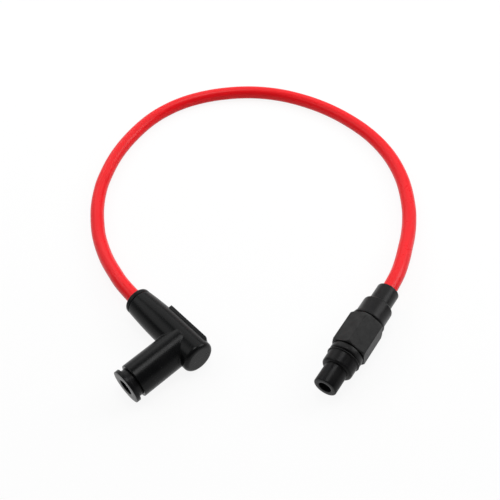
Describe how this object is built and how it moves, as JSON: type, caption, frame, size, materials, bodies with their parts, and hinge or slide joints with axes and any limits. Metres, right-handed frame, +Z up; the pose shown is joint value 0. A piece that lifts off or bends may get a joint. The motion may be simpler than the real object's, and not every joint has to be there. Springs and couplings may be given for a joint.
{
  "type": "ignition cable",
  "caption": "Spark plug lead: a red high-tension cable with a right-angle black plug cap on one end and a screw-together hexagonal cable joiner on the other.",
  "frame": {"origin": "centre of the base of the box round the two end pieces; the free lead is left out of that box", "axes": "+Z up from the surface that the cable lies on; +Y along the joiner's axis, from its open nose to where the lead goes in; +X from the plug cap to the joiner"},
  "size_m": [0.2118, 0.2355, 0.0202],
  "materials": {
    "red_silicone": "smooth, softly glossy silicone jacket, bright red",
    "tinned_copper": "tinned copper strands, bare where cut",
    "black_phenolic": "moulded black phenolic, glossy",
    "black_rubber": "moulded black rubber, soft sheen",
    "black_nylon": "moulded black nylon, faintly mottled, dull",
    "brass": "turned brass, bright",
    "spring_steel": "drawn spring wire, bright",
    "ceramic": "fired ceramic, unglazed"
  },
  "bodies": {
    "root": {"lead_jacket": "red_silicone", "lead_core": "tinned_copper", "cap_body": "black_phenolic", "cable_seal": "black_rubber", "plug_seal": "black_rubber", "contact_insert": "brass", "wire_screw": "brass", "contact_spring": "spring_steel", "resistor_cup_inner": "brass", "resistor": "ceramic", "resistor_cup_outer": "brass", "terminal_socket": "brass", "wire_clip": "spring_steel", "coil_boot": "black_rubber", "lead_boot": "black_rubber", "joiner_collar": "black_nylon", "joiner_hex_body": "black_nylon", "joiner_seal_ring": "black_rubber", "contact_pin": "brass", "pin_carrier": "black_nylon"}
  },
  "joints": []
}
